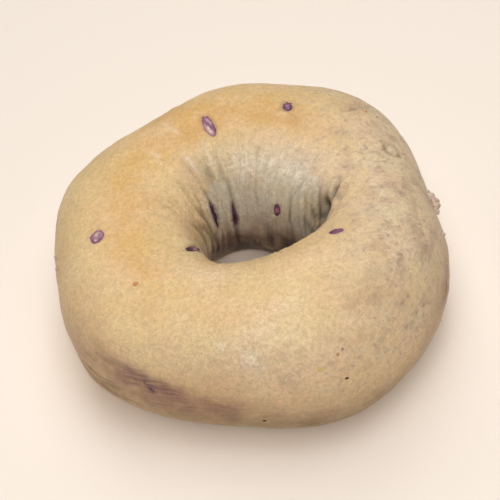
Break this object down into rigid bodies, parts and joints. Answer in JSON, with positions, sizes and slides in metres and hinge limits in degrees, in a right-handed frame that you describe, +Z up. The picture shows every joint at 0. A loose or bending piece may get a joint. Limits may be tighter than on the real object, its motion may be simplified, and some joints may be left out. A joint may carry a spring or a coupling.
{
  "type": "bagel",
  "caption": "Blueberry bagel: a plump ring of baked dough with a domed top, a narrow funnel-shaped hole and a flat underside to rest on.",
  "frame": {"origin": "on the flat underside's plane, under the middle of the ring's outline", "axes": "+Z up from the flat underside to the domed top; -Y is the side that is lowest in the picture, +X its right"},
  "size_m": [0.1104, 0.1112, 0.0476],
  "materials": {
    "crust": "thin boiled and baked crust, soft satin sheen",
    "blueberry": "baked blueberry skin, satin"
  },
  "bodies": {
    "root": {"bagel": "crust"}
  },
  "joints": []
}
